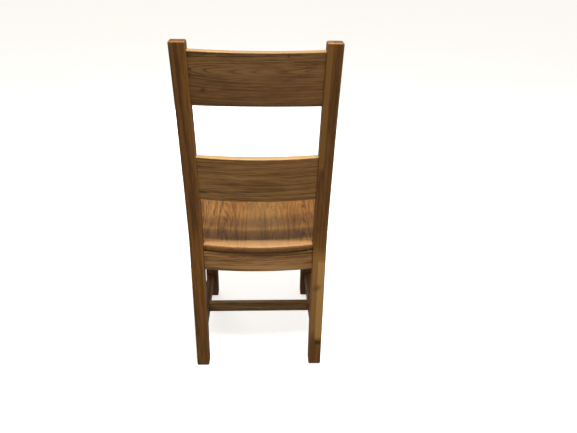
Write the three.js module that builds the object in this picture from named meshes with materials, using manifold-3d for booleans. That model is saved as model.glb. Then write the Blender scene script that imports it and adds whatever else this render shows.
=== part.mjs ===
// Dining chair with a ladder back and a solid wood seat, made as its separate joined pieces.
// Millimetres, +Z up, the front faces -Y, and left is the sitter's left, +X.
// While it is built, y = 0 is the back face of the straight lower part of the back posts.
import * as THREE from 'three';
import { mergeVertices } from 'three/addons/utils/BufferGeometryUtils.js';
import Module from 'manifold-3d';

const wasm = await Module();
wasm.setup();

// Overall sizes
const backHeight = 1050; // floor to the top of the back posts
const frameWidth = 400; // over the outsides of the posts, and of the front legs
const frameDepth = 435; // back face of the posts to the front face of the front legs
const seatHeight = 448; // floor to the rim of the seat

// Clearances
const fit = 0.3; // between pieces that touch, and around every tenon and screw
const blockClear = 2; // corner block to the leg that it is notched around
const glueSpace = 1; // past the end of a tenon

const post = {
  width: 39,
  depth: 40, // front to back, at the seat and below
  topDepth: 34,
  bendBelowSeat: 28, // the straight part ends this far below the seat's rim
  kneeRadius: 550,
  kneeAngle: THREE.MathUtils.degToRad(10),
  sweepRadius: 5900, // the gentle curve from the knee to the top
  ease: 2.5,
  endEase: 4,
};

const leg = { width: 42, depth: 42, ease: 2.5, endEase: 4 };

// Rails of the back: each is bowed towards the back and leans with the posts.
const crest = {
  belowPostTop: 22,
  height: 139.5,
  thickness: 24,
  backBow: 22,
  frontBow: 22,
  arch: 4, // rise of the bottom edge in the middle
  setBack: 8, // behind this much of the post's back face, at its ends
  tenonThickness: 10,
  tenonShoulder: 12,
  tenonLength: 20,
  ease: 2,
};

const lumbar = {
  aboveMiddle: 6.5, // above the middle of the space between the seat and the crest rail
  height: 134.5,
  thickness: 20,
  backBow: 19,
  frontBow: 15,
  arch: 0,
  setBack: 8,
  tenonThickness: 10,
  tenonShoulder: 12,
  tenonLength: 20,
  ease: 2,
};

const apron = {
  height: 64,
  thickness: 20,
  frontSetBack: 6, // front apron behind the front faces of the legs
  sideSetBack: 4, // side aprons inside the outer faces of the legs
  rearSetBack: 5, // rear apron's flat face behind the front faces of the posts
  rearBow: 14,
  tenonThickness: 8,
  tenonShoulder: 10,
  sideTenonLength: 18,
  mortiseWeb: 2.4, // wood left between the two mortises at each corner of the seat frame
  ease: 1.5,
};

const seat = {
  thickness: 24,
  rearSideOverhang: 4,
  frontSideOverhang: 15,
  frontOverhang: 12,
  frontBow: 8,
  frontCornerRadius: 22,
  rearOverhang: 5, // middle of the rear edge behind the posts' back faces
  rearBow: 18,
  dishDepth: 6,
  dishMargin: 42, // flat rim left around the dish
  ease: 3,
  underEase: 8, // the underside's edges are eased more than the top's
};

const stretcher = {
  top: 103, // floor to the top edges
  sideSetBack: 4, // side stretchers inside the outer faces of the legs
  sideThickness: 24,
  sideHeight: 35,
  crossThickness: 22,
  crossHeight: 33,
  crossForward: 5, // rear of the middle between post and leg
  tenonThickness: 9,
  tenonShoulder: 6,
  sideTenonLength: 18,
  crossTenonLength: 14,
  ease: 2,
};

const block = {
  reach: 74, // along each apron
  height: 24,
  screwFromTip: 20, // screw to the thin tip of the block
  screwSeat: 10, // wood under the head of a screw into an apron
  seatScrewIn: 9, // seat screw from the corner of the notch, both ways
};

const screw = {
  radius: 2,
  headRadius: 4,
  headHeight: 2.6,
  tipLength: 4,
  apronLength: 25,
  seatLength: 38,
  headRoom: 0.6,
  sides: 12,
};

const glide = {
  radius: 10,
  height: 3,
  flatRadius: 8,
  nailRadius: 1.5,
  nailLength: 14,
  nailTip: 4,
  edge: 1.2, // height of the sloping edge below the rim
  sides: 20,
};

const curveSteps = 16; // straight steps along each half of a bowed face
const tenonRoot = 6; // length of a tenon that is buried in its own rail

const postInner = frameWidth / 2 - post.width;
const legInner = frameWidth / 2 - leg.width;
const legBack = -frameDepth + leg.depth;
const seatBottom = seatHeight - seat.thickness;
const apronTop = seatBottom - fit;
const footBottom = glide.height + fit;
const bendStart = seatHeight - post.bendBelowSeat;
const sideApronOuter = frameWidth / 2 - apron.sideSetBack;
const sideApronInner = sideApronOuter - apron.thickness;
const sideTenonInner = sideApronInner + (apron.thickness - apron.tenonThickness) / 2;
const frontApronInner = -frameDepth + apron.frontSetBack + apron.thickness;
const rearApronInner = -post.depth + apron.rearSetBack;
const sideStretcherX = frameWidth / 2 - stretcher.sideSetBack - stretcher.sideThickness / 2;

const oak = { color: 0x7a5530, roughness: 0.5, metalness: 0 };
const seatOak = { color: 0xa8794a, roughness: 0.42, metalness: 0 };
const softwood = { color: 0xb08d5e, roughness: 0.7, metalness: 0 };
const steel = { color: 0xb9b6a8, roughness: 0.35, metalness: 0.9 };
const nylon = { color: 0x3a332c, roughness: 0.55, metalness: 0 };

const upward = new THREE.Vector3(0, 0, 1);
const rearward = new THREE.Vector3(0, 1, 0);
const forward = new THREE.Vector3(0, -1, 0);
const chair = new THREE.Group();

// A closed geometry as a solid that can be joined and cut.
function solid(geometry) {
  const bare = geometry.clone();
  bare.deleteAttribute('normal');
  bare.deleteAttribute('uv');
  const merged = mergeVertices(bare, 1e-4);
  const corners = merged.index.array;
  const triVerts = [];
  for (let i = 0; i < corners.length; i += 3) {
    const [a, b, c] = corners.subarray(i, i + 3);
    if (a !== b && b !== c && c !== a) triVerts.push(a, b, c);
  }
  return new wasm.Manifold(new wasm.Mesh({
    numProp: 3,
    vertProperties: new Float32Array(merged.attributes.position.array),
    triVerts: new Uint32Array(triVerts),
  }));
}

function geometryOf(body) {
  const { vertProperties, triVerts } = body.getMesh();
  const geometry = new THREE.BufferGeometry();
  geometry.setAttribute('position', new THREE.BufferAttribute(vertProperties, 3));
  geometry.setIndex(new THREE.BufferAttribute(triVerts, 1));
  geometry.computeVertexNormals();
  return geometry;
}

function addPiece(name, body, finish) {
  const mesh = new THREE.Mesh(geometryOf(body), new THREE.MeshStandardMaterial(finish));
  mesh.name = name;
  chair.add(mesh);
  return mesh;
}

// An outline pushed out along its normal, with the edges of both faces eased.
function slab(points, thickness, ease = 0) {
  const geometry = new THREE.ExtrudeGeometry(new THREE.Shape(points), {
    depth: thickness - 2 * ease,
    steps: 1,
    bevelEnabled: ease > 0,
    bevelThickness: ease,
    bevelSize: ease,
    bevelOffset: -ease,
    bevelSegments: 1,
  });
  return geometry.translate(0, 0, ease);
}

// A side outline, of y and z, pushed out along +X from x.
function sideSlab(points, x, thickness, ease) {
  const turn = new THREE.Matrix4().makeBasis(
    new THREE.Vector3(0, 1, 0),
    new THREE.Vector3(0, 0, 1),
    new THREE.Vector3(1, 0, 0),
  );
  return slab(points, thickness, ease).applyMatrix4(turn).translate(x, 0, 0);
}

// A front outline, of x and z, pushed out along -Y from y.
function frontSlab(points, y, thickness, ease) {
  const turn = new THREE.Matrix4().makeBasis(
    new THREE.Vector3(1, 0, 0),
    new THREE.Vector3(0, 0, 1),
    new THREE.Vector3(0, -1, 0),
  );
  return slab(points, thickness, ease).applyMatrix4(turn).translate(0, y, 0);
}

function rectangle(x0, y0, x1, y1) {
  return [[x0, y0], [x1, y0], [x1, y1], [x0, y1]].map(([x, y]) => new THREE.Vector2(x, y));
}

// Slides each level of a geometry along y, by lean for each unit of height.
function leaned(geometry, lean) {
  return geometry.applyMatrix4(new THREE.Matrix4().set(
    1, 0, 0, 0,
    0, 1, lean, 0,
    0, 0, 1, 0,
    0, 0, 0, 1,
  ));
}

// A tenon is a block, { centre, size, lean }, and its mortise is the same block grown all round.
function tenonSolid({ centre, size, lean = 0 }, grow = 0) {
  const [x, y, z] = size.map((length) => length + 2 * grow);
  const shape = leaned(new THREE.BoxGeometry(x, y, z), lean);
  return solid(shape.translate(...centre));
}

// A mortise reaches past the end of its tenon, along the axis that the tenon runs along.
function mortiseSolid(tenon) {
  const size = [...tenon.size];
  size[tenon.axis] += 2 * glueSpace;
  return tenonSolid({ ...tenon, size }, fit);
}

function joined(body, tenons) {
  return tenons.reduce((sum, tenon) => sum.add(tenonSolid(tenon)), body);
}

function mortised(body, tenons) {
  return tenons.reduce((rest, tenon) => rest.subtract(mortiseSolid(tenon)), body);
}

// How far back the back face of a post is at a height: straight, then a knee, then a gentle sweep.
function postBack(z) {
  const kneeTop = bendStart + post.kneeRadius * Math.sin(post.kneeAngle);
  if (z <= bendStart) return 0;
  if (z <= kneeTop) {
    return post.kneeRadius - Math.sqrt(post.kneeRadius ** 2 - (z - bendStart) ** 2);
  }
  const kneeBack = post.kneeRadius * (1 - Math.cos(post.kneeAngle));
  const centreZ = kneeTop - post.sweepRadius * Math.sin(post.kneeAngle);
  const centreY = kneeBack + post.sweepRadius * Math.cos(post.kneeAngle);
  return centreY - Math.sqrt(post.sweepRadius ** 2 - (z - centreZ) ** 2);
}

function postDepth(z) {
  const share = Math.max(0, (z - bendStart) / (backHeight - bendStart));
  return post.depth + (post.topDepth - post.depth) * share;
}

function postOutline() {
  const kneeTop = bendStart + post.kneeRadius * Math.sin(post.kneeAngle);
  const levels = [];
  for (let i = 0; i <= 6; i += 1) levels.push(bendStart + (kneeTop - bendStart) * (i / 6));
  for (let i = 1; i < 7; i += 1) levels.push(kneeTop + (backHeight - kneeTop) * (i / 7));
  const top = backHeight - post.endEase;
  const foot = footBottom + post.endEase;
  const back = [foot, ...levels, top].map((z) => new THREE.Vector2(postBack(z), z));
  const front = [foot, ...levels, top].map((z) => new THREE.Vector2(postBack(z) - postDepth(z), z));
  const topBack = postBack(backHeight);
  return [
    new THREE.Vector2(-post.endEase, footBottom),
    ...back,
    new THREE.Vector2(topBack - post.endEase, backHeight),
    new THREE.Vector2(topBack - post.topDepth + post.endEase, backHeight),
    ...front.reverse(),
    new THREE.Vector2(-post.depth + post.endEase, footBottom),
  ];
}

function legOutline() {
  const front = -frameDepth;
  const foot = footBottom;
  return [
    [front + leg.endEase, foot],
    [legBack - leg.endEase, foot],
    [legBack, foot + leg.endEase],
    [legBack, apronTop],
    [front, apronTop],
    [front, foot + leg.endEase],
  ].map(([y, z]) => new THREE.Vector2(y, z));
}

// The distance that a bowed face stands out at x, between ends at plus and minus half.
function bowAt(x, half, bow) {
  return bow * (1 - (x / half) ** 2);
}

// A plan outline between plus and minus half: back face at y = 0 at its ends, both faces bowed.
function bowedOutline(half, thickness, backBow, frontBow) {
  const back = [];
  const front = [];
  for (let i = -curveSteps; i <= curveSteps; i += 1) {
    const x = (half * i) / curveSteps;
    back.push(new THREE.Vector2(x, bowAt(x, half, backBow)));
    front.push(new THREE.Vector2(-x, bowAt(x, half, frontBow) - thickness));
  }
  return [...back, ...front];
}

// Tenons at both ends of a piece that runs along X, between faces at plus and minus inner.
function crossTenons(inner, y, z, thickness, height, length, lean = 0) {
  return [1, -1].map((side) => ({
    axis: 0,
    centre: [side * (inner + (length - tenonRoot) / 2), y, z],
    size: [length + tenonRoot, thickness, height],
    lean,
  }));
}

// Tenons at both ends of a piece that runs along Y, from the posts to the front legs.
function depthTenons(x, z, thickness, height, length) {
  const reach = (length - tenonRoot) / 2;
  return [-post.depth + reach, legBack - reach].map((y) => ({
    axis: 1,
    centre: [x, y, z],
    size: [thickness, length + tenonRoot, height],
  }));
}

// The two rails of the back.
function backRail(rail, bottom) {
  const half = postInner - fit;
  const top = bottom + rail.height;
  const lean = (postBack(top) - postBack(bottom)) / rail.height;
  const outline = bowedOutline(half, rail.thickness, rail.backBow, rail.frontBow);
  const plank = leaned(slab(outline, rail.height, rail.ease), lean);
  let body = solid(plank.translate(0, postBack(bottom) - rail.setBack, bottom));
  if (rail.arch > 0) body = body.subtract(archCutter(rail, bottom, half));
  const middle = bottom + rail.height / 2;
  const middleY = (postBack(bottom) + postBack(top)) / 2 - rail.setBack - rail.thickness / 2;
  const tenons = crossTenons(
    postInner,
    middleY,
    middle,
    rail.tenonThickness,
    rail.height - 2 * rail.tenonShoulder,
    rail.tenonLength,
    lean,
  );
  return { body: joined(body, tenons), tenons };
}

// What the arch of a rail's bottom edge takes away, right through the rail.
function archCutter(rail, bottom, half) {
  const points = [];
  for (let i = -curveSteps; i <= curveSteps; i += 1) {
    const x = (half * i) / curveSteps;
    points.push(new THREE.Vector2(x, bottom + bowAt(x, half, rail.arch)));
  }
  points.push(new THREE.Vector2(half, bottom - rail.arch), new THREE.Vector2(-half, bottom - rail.arch));
  const back = postBack(bottom) + rail.backBow + rail.thickness;
  const front = postBack(bottom) - rail.setBack - 2 * rail.thickness;
  return solid(frontSlab(points, back, back - front, 0));
}

const crestBottom = backHeight - crest.belowPostTop - crest.height;
const lumbarBottom = (seatHeight + crestBottom - lumbar.height) / 2 + lumbar.aboveMiddle;
const crestRail = backRail(crest, crestBottom);
const lumbarRail = backRail(lumbar, lumbarBottom);

// The four aprons under the seat.
const apronMiddle = apronTop - apron.height / 2;
const apronTenonHeight = apron.height - 2 * apron.tenonShoulder;

// The front and rear aprons' tenons stop short of the side aprons' mortises.
function apronTenonLength(inner) {
  return sideTenonInner - inner - apron.mortiseWeb - glueSpace - 2 * fit;
}

function rearApron() {
  const half = postInner - fit;
  const plank = slab(bowedOutline(half, apron.thickness, apron.rearBow, 0), apron.height, apron.ease);
  const body = solid(plank.translate(0, rearApronInner + apron.thickness, apronTop - apron.height));
  const y = rearApronInner + apron.thickness / 2;
  const length = apronTenonLength(postInner);
  const tenons = crossTenons(postInner, y, apronMiddle, apron.tenonThickness, apronTenonHeight, length);
  return { body: joined(body, tenons), tenons };
}

function frontApron() {
  const half = legInner - fit;
  const outline = rectangle(-half, apronTop - apron.height, half, apronTop);
  const body = solid(frontSlab(outline, frontApronInner, apron.thickness, apron.ease));
  const y = frontApronInner - apron.thickness / 2;
  const length = apronTenonLength(legInner);
  const tenons = crossTenons(legInner, y, apronMiddle, apron.tenonThickness, apronTenonHeight, length);
  return { body: joined(body, tenons), tenons };
}

function sideApron(side) {
  const outline = rectangle(legBack + fit, apronTop - apron.height, -post.depth - fit, apronTop);
  const x = side > 0 ? sideApronInner : -sideApronOuter;
  const body = solid(sideSlab(outline, x, apron.thickness, apron.ease));
  const middleX = side * (sideApronInner + apron.thickness / 2);
  const tenons = depthTenons(
    middleX, apronMiddle, apron.tenonThickness, apronTenonHeight, apron.sideTenonLength,
  );
  return { body: joined(body, tenons), tenons };
}

const apronRear = rearApron();
const apronFront = frontApron();
const apronSides = { left: sideApron(1), right: sideApron(-1) };

// The H of stretchers: one along each side, and one across between them.
const stretcherFace = sideStretcherX - stretcher.sideThickness / 2;

function crossStretcher() {
  const half = stretcherFace - fit;
  const y = (legBack - post.depth) / 2 + stretcher.crossForward;
  const bottom = stretcher.top - stretcher.crossHeight;
  const outline = rectangle(-half, bottom, half, stretcher.top);
  const back = y + stretcher.crossThickness / 2;
  const body = solid(frontSlab(outline, back, stretcher.crossThickness, stretcher.ease));
  const tenons = crossTenons(
    stretcherFace,
    y,
    bottom + stretcher.crossHeight / 2,
    stretcher.tenonThickness,
    stretcher.crossHeight - 2 * stretcher.tenonShoulder,
    stretcher.crossTenonLength,
  );
  return { body: joined(body, tenons), tenons };
}

function sideStretcher(side) {
  const bottom = stretcher.top - stretcher.sideHeight;
  const outline = rectangle(legBack + fit, bottom, -post.depth - fit, stretcher.top);
  const x = side * sideStretcherX - stretcher.sideThickness / 2;
  const body = solid(sideSlab(outline, x, stretcher.sideThickness, stretcher.ease));
  const tenons = depthTenons(
    side * sideStretcherX,
    bottom + stretcher.sideHeight / 2,
    stretcher.tenonThickness,
    stretcher.sideHeight - 2 * stretcher.tenonShoulder,
    stretcher.sideTenonLength,
  );
  return { body: joined(body, tenons), tenons };
}

const stretcherCross = crossStretcher();
const stretcherSides = { left: sideStretcher(1), right: sideStretcher(-1) };

// The seat: one glued panel, notched around the posts, its rear edge bowed between them.
function seatOutline() {
  const notchX = postInner - fit;
  const notchY = -post.depth - fit;
  const rearX = frameWidth / 2 + seat.rearSideOverhang;
  const frontX = frameWidth / 2 + seat.frontSideOverhang;
  const frontY = -frameDepth - seat.frontOverhang;
  const radius = seat.frontCornerRadius;
  const points = [];
  for (let i = curveSteps; i >= -curveSteps; i -= 1) {
    const x = (notchX * i) / curveSteps;
    points.push(new THREE.Vector2(x, seat.rearOverhang - seat.rearBow + bowAt(x, notchX, seat.rearBow)));
  }
  points.push(new THREE.Vector2(-notchX, notchY), new THREE.Vector2(-rearX, notchY));
  points.push(...cornerArc(-frontX, frontY + seat.frontBow, radius, Math.PI));
  const flatHalf = frontX - radius;
  for (let i = -curveSteps / 2 + 1; i < curveSteps / 2; i += 1) {
    const x = (flatHalf * i) / (curveSteps / 2);
    points.push(new THREE.Vector2(x, frontY + seat.frontBow - bowAt(x, flatHalf, seat.frontBow)));
  }
  points.push(...cornerArc(frontX, frontY + seat.frontBow, radius, 1.5 * Math.PI));
  points.push(new THREE.Vector2(rearX, notchY), new THREE.Vector2(notchX, notchY));
  return points;
}

// A quarter of a circle in the corner at x and y, anticlockwise from the start angle.
function cornerArc(x, y, radius, start) {
  const centreX = x - Math.sign(x) * radius;
  const points = [];
  for (let i = 0; i <= 5; i += 1) {
    const angle = start + (Math.PI / 2) * (i / 5);
    const along = centreX + radius * Math.cos(angle);
    points.push(new THREE.Vector2(along, y + radius + radius * Math.sin(angle)));
  }
  return points;
}

// The hollow of the seat, deepest in the middle and fading out at its rim.
function dishCutter() {
  const profile = [];
  const rings = 8;
  for (let i = 0; i <= rings; i += 1) {
    const share = i / rings;
    const depth = (seat.dishDepth / 2) * (1 + Math.cos(Math.PI * share));
    profile.push(new THREE.Vector2(share, -depth));
  }
  profile.push(new THREE.Vector2(1, seat.thickness), new THREE.Vector2(0, seat.thickness));
  const front = -frameDepth - seat.frontOverhang + seat.frontBow + seat.dishMargin;
  const back = -post.depth - seat.dishMargin / 2;
  const dish = new THREE.LatheGeometry(profile, 36).rotateX(Math.PI / 2);
  dish.scale(frameWidth / 2 - seat.dishMargin, (back - front) / 2, 1);
  return solid(dish.translate(0, (front + back) / 2, seatHeight));
}

// Corner blocks, each screwed to two aprons and, upwards, to the seat.
function cornerBlock(side, end) {
  const inward = end === 'front' ? 1 : -1;
  const apronFace = end === 'front' ? frontApronInner : rearApronInner;
  const cornerX = end === 'front' ? legInner : postInner;
  const cornerY = end === 'front' ? legBack : -post.depth;
  const outerX = sideApronInner - fit;
  const outerY = apronFace + inward * fit;
  const notchX = cornerX - blockClear;
  const notchY = cornerY + inward * blockClear;
  const outline = [
    [outerX - block.reach, outerY],
    [notchX, outerY],
    [notchX, notchY],
    [outerX, notchY],
    [outerX, outerY + inward * block.reach],
  ].map(([x, y]) => new THREE.Vector2(side * x, y));
  const bottom = apronTop - block.height;
  const body = solid(slab(outline, block.height).translate(0, 0, bottom));
  const middle = bottom + block.height / 2;
  const tipX = outerX - block.reach + block.screwFromTip;
  const tipY = outerY + inward * (block.reach - block.screwFromTip);
  const seatX = notchX - block.seatScrewIn;
  const seatY = notchY + inward * block.seatScrewIn;
  const screws = [
    {
      seat: new THREE.Vector3(side * tipX, outerY + inward * block.screwSeat, middle),
      way: new THREE.Vector3(0, -inward, 0),
      length: screw.apronLength,
    },
    {
      seat: new THREE.Vector3(side * (outerX - block.screwSeat), tipY, middle),
      way: new THREE.Vector3(side, 0, 0),
      length: screw.apronLength,
    },
    {
      seat: new THREE.Vector3(side * seatX, seatY, bottom),
      way: new THREE.Vector3(0, 0, 1),
      length: screw.seatLength,
    },
  ];
  return { body, screws };
}

// A solid of revolution about a line from a point, along a way.
function turned(profile, sides, from, way) {
  const geometry = new THREE.LatheGeometry(profile.map(([r, z]) => new THREE.Vector2(r, z)), sides);
  const spin = new THREE.Quaternion().setFromUnitVectors(new THREE.Vector3(0, 1, 0), way);
  return solid(geometry.applyQuaternion(spin).translate(...from.toArray()));
}

function screwSolid({ seat: from, way, length }) {
  const profile = [
    [0, fit - screw.headHeight],
    [0.7 * screw.headRadius, fit - screw.headHeight],
    [screw.headRadius, fit - 0.5 * screw.headHeight],
    [screw.headRadius, -fit],
    [screw.radius, -fit],
    [screw.radius, length - screw.tipLength],
    [0, length],
  ];
  return turned(profile, screw.sides, from, way);
}

// The hole for a screw, with room for the driver behind its head.
function screwHole({ seat: from, way, length }) {
  const shaft = screw.radius + fit;
  const room = screw.headRadius + screw.headRoom;
  const profile = [
    [0, -block.reach],
    [room, -block.reach],
    [room, 0],
    [shaft, 0],
    [shaft, length - screw.tipLength],
    [0, length + glueSpace],
  ];
  return turned(profile, screw.sides, from, way);
}

function drilled(body, screws) {
  return screws.reduce((rest, item) => rest.subtract(screwHole(item)), body);
}

// Glides under the four feet, each with its nail driven into the leg.
function glideSolid({ x, y }) {
  const profile = [
    [0, 0],
    [glide.flatRadius, 0],
    [glide.radius, glide.edge],
    [glide.radius, glide.height],
    [glide.nailRadius, glide.height],
    [glide.nailRadius, glide.height + glide.nailLength - glide.nailTip],
    [0, glide.height + glide.nailLength],
  ];
  return turned(profile, glide.sides, new THREE.Vector3(x, y, 0), upward);
}

function nailHole({ x, y }) {
  const radius = glide.nailRadius + fit;
  const profile = [
    [0, 0],
    [radius, 0],
    [radius, glide.height + glide.nailLength - glide.nailTip],
    [0, glide.height + glide.nailLength + glueSpace],
  ];
  return turned(profile, glide.sides, new THREE.Vector3(x, y, 0), upward);
}

// The pieces, cut for each other and put together
const sides = { left: 1, right: -1 };
const blocks = [];
for (const end of ['front', 'rear']) {
  for (const [name, side] of Object.entries(sides)) {
    blocks.push({ label: `${end}_${name}`, end, ...cornerBlock(side, end) });
  }
}

function screwsInto(way) {
  return blocks.flatMap((item) => item.screws).filter((item) => item.way.dot(way) > 0.5);
}

for (const [name, side] of Object.entries(sides)) {
  const postFoot = { x: side * (frameWidth - post.width) / 2, y: -post.depth / 2 };
  const legFoot = { x: side * (frameWidth - leg.width) / 2, y: legBack - leg.depth / 2 };
  const sideTenons = [...apronSides[name].tenons, ...stretcherSides[name].tenons];

  const postX = side > 0 ? postInner : -frameWidth / 2;
  const postBlank = solid(sideSlab(postOutline(), postX, post.width, post.ease));
  const railTenons = [...crestRail.tenons, ...lumbarRail.tenons, ...apronRear.tenons];
  const postBody = mortised(postBlank, [...railTenons, ...sideTenons]).subtract(nailHole(postFoot));
  addPiece(`back_post_${name}`, postBody, oak);

  const legX = side > 0 ? legInner : -frameWidth / 2;
  const legBlank = solid(sideSlab(legOutline(), legX, leg.width, leg.ease));
  const legBody = mortised(legBlank, [...apronFront.tenons, ...sideTenons]).subtract(nailHole(legFoot));
  addPiece(`front_leg_${name}`, legBody, oak);

  const outward = new THREE.Vector3(side, 0, 0);
  addPiece(`side_apron_${name}`, drilled(apronSides[name].body, screwsInto(outward)), oak);
  addPiece(`side_stretcher_${name}`, mortised(stretcherSides[name].body, stretcherCross.tenons), oak);
  addPiece(`glide_rear_${name}`, glideSolid(postFoot), nylon);
  addPiece(`glide_front_${name}`, glideSolid(legFoot), nylon);
}

addPiece('crest_rail', crestRail.body, oak);
addPiece('lumbar_rail', lumbarRail.body, oak);
addPiece('rear_apron', drilled(apronRear.body, screwsInto(rearward)), oak);
addPiece('front_apron', drilled(apronFront.body, screwsInto(forward)), oak);
addPiece('cross_stretcher', stretcherCross.body, oak);

const seatTop = solid(slab(seatOutline(), seat.thickness, seat.ease));
const seatUnder = solid(slab(seatOutline(), 2 * seat.thickness, seat.underEase));
const panel = seatTop.intersect(seatUnder).translate(0, 0, seatBottom);
addPiece('seat_board', drilled(panel.subtract(dishCutter()), screwsInto(upward)), seatOak);

for (const { label, body, screws } of blocks) {
  addPiece(`corner_block_${label}`, drilled(body, screws), softwood);
  ['end_screw', 'side_screw', 'seat_screw'].forEach((kind, i) => {
    addPiece(`${kind}_${label}`, screwSolid(screws[i]), steel);
  });
}

// The origin goes to the floor, under the middle of the chair.
const box = new THREE.Box3().setFromObject(chair);
chair.position.y = -(box.min.y + box.max.y) / 2;

export default chair;
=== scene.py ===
import math

import bmesh
import bpy
from mathutils import Euler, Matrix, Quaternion, Vector


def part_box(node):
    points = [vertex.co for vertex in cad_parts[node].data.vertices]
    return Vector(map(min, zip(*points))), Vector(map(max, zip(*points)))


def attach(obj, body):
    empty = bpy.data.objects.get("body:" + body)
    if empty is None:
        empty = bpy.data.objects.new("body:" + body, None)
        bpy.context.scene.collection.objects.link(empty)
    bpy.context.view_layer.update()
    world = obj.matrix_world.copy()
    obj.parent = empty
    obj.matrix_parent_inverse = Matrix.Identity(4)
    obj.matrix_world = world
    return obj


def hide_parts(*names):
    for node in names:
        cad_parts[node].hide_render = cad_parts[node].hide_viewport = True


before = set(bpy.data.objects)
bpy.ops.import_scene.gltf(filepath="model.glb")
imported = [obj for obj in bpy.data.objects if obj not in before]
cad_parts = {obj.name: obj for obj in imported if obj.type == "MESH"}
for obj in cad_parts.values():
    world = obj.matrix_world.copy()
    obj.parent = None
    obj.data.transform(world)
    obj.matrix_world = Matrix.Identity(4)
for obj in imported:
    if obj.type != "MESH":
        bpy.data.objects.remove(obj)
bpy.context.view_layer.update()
print("frame loaded:", len(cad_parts), "nodes")

# Everything is in metres. The front of the chair faces -Y and the sitter's left is +X.
fit = 0.0003  # left open between pieces that meet
glueSpace = 0.001  # past the end of a tenon or a screw
easeSteps = 3  # faces round an eased corner or end
sideOf = {"left": 1, "right": -1}

postLow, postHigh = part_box("back_post_left")
legLow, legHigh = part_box("front_leg_left")
seatLow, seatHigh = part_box("seat_board")


# Camera, light and floor

cameraLook = {
    "place": (-0.01203, 1.61988, 1.28848),
    "heading": -2.904,  # degrees, from straight along -Y
    "down": 26.890,
    "roll": 1.167,
    "lens": 36.0,
    "sensor": 36.0,
}

lampLooks = {
    "smallLamp": {"place": (-0.12, 1.02, 2.46), "size": 0.08, "power": 29.0, "shine": True},
    "softLamp": {"place": (-0.15, 1.06, 2.98), "size": 0.70, "power": 72.0, "shine": True},
    "frontLamp": {"place": (0.90, -2.70, 0.80), "size": 1.60, "power": 40.0, "shine": False},
}
lampAim = Vector((0.0, 0.05, 0.50))

skyLook = {
    "tone": (1.0, 0.92, 0.79),
    "above": 0.34,
    "below": 0.26,
}

stageLook = {
    "floorReach": 13.0,
    "coveRadius": 2.0,
    "coveSteps": 8,
    "sides": 48,
    "wallHeight": 12.0,
    "colour": (0.86, 0.855, 0.845),
    "glow": 0.78,
    "mottle": 0.02,
}


def makeCamera(look):
    heading = math.radians(look["heading"])
    down = math.radians(look["down"])
    forward = Vector((
        math.sin(heading) * math.cos(down),
        -math.cos(heading) * math.cos(down),
        -math.sin(down),
    ))
    data = bpy.data.cameras.new("camera")
    data.lens = look["lens"]
    data.sensor_width = look["sensor"]
    camera = bpy.data.objects.new("camera", data)
    camera.rotation_mode = "QUATERNION"
    roll = Quaternion((0, 0, 1), math.radians(look["roll"]))
    camera.rotation_quaternion = forward.to_track_quat("-Z", "Y") @ roll
    camera.location = look["place"]
    bpy.context.scene.collection.objects.link(camera)
    bpy.context.scene.camera = camera


makeCamera(cameraLook)
print("camera made")


# Small helpers for node trees

def add(tree, kind, inputs=None, **settings):
    made = tree.nodes.new(kind)
    for setting, value in settings.items():
        setattr(made, setting, value)
    for key, value in (inputs or {}).items():
        if isinstance(value, bpy.types.NodeSocket):
            tree.links.new(value, made.inputs[key])
        else:
            made.inputs[key].default_value = value
    return made


def sums(tree, operation, *values):
    kind = "ShaderNodeMath"
    return add(tree, kind, dict(enumerate(values)), operation=operation).outputs[0]


def vectorSums(tree, operation, *values):
    kind = "ShaderNodeVectorMath"
    made = add(tree, kind, dict(enumerate(values)), operation=operation)
    return made.outputs["Value" if operation == "LENGTH" else "Vector"]


def scaled(tree, vector, factor):
    inputs = {0: vector, "Scale": factor}
    return add(tree, "ShaderNodeVectorMath", inputs, operation="SCALE").outputs["Vector"]


def ranged(tree, value, fromLow, fromHigh, toLow=0.0, toHigh=1.0):
    inputs = {0: value, 1: fromLow, 2: fromHigh, 3: toLow, 4: toHigh}
    return add(tree, "ShaderNodeMapRange", inputs, clamp=True).outputs[0]


def noise(tree, vector, stretch, detail=2.0, roughness=0.5):
    place = vectorSums(tree, "MULTIPLY", vector, stretch)
    inputs = {"Vector": place, "Scale": 1.0, "Detail": detail, "Roughness": roughness}
    return add(tree, "ShaderNodeTexNoise", inputs)


def mixed(tree, factor, first, second, blend="MIX"):
    inputs = {0: factor, 6: first, 7: second}
    return add(tree, "ShaderNodeMix", inputs, data_type="RGBA", blend_type=blend).outputs[2]


def rgba(colour):
    return (*colour, 1.0)


def inRadians(angles):
    return [math.radians(angle) for angle in angles]


def newMaterial(name):
    material = bpy.data.materials.new(name)
    material.use_nodes = True
    material.node_tree.nodes.clear()
    return material, material.node_tree


# Wood: growth rings round a heart line, pores in the early wood, fibres and slow colour drift.
# Board coordinates run along the grain in x, and the heart line is y = z = 0.

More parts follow.
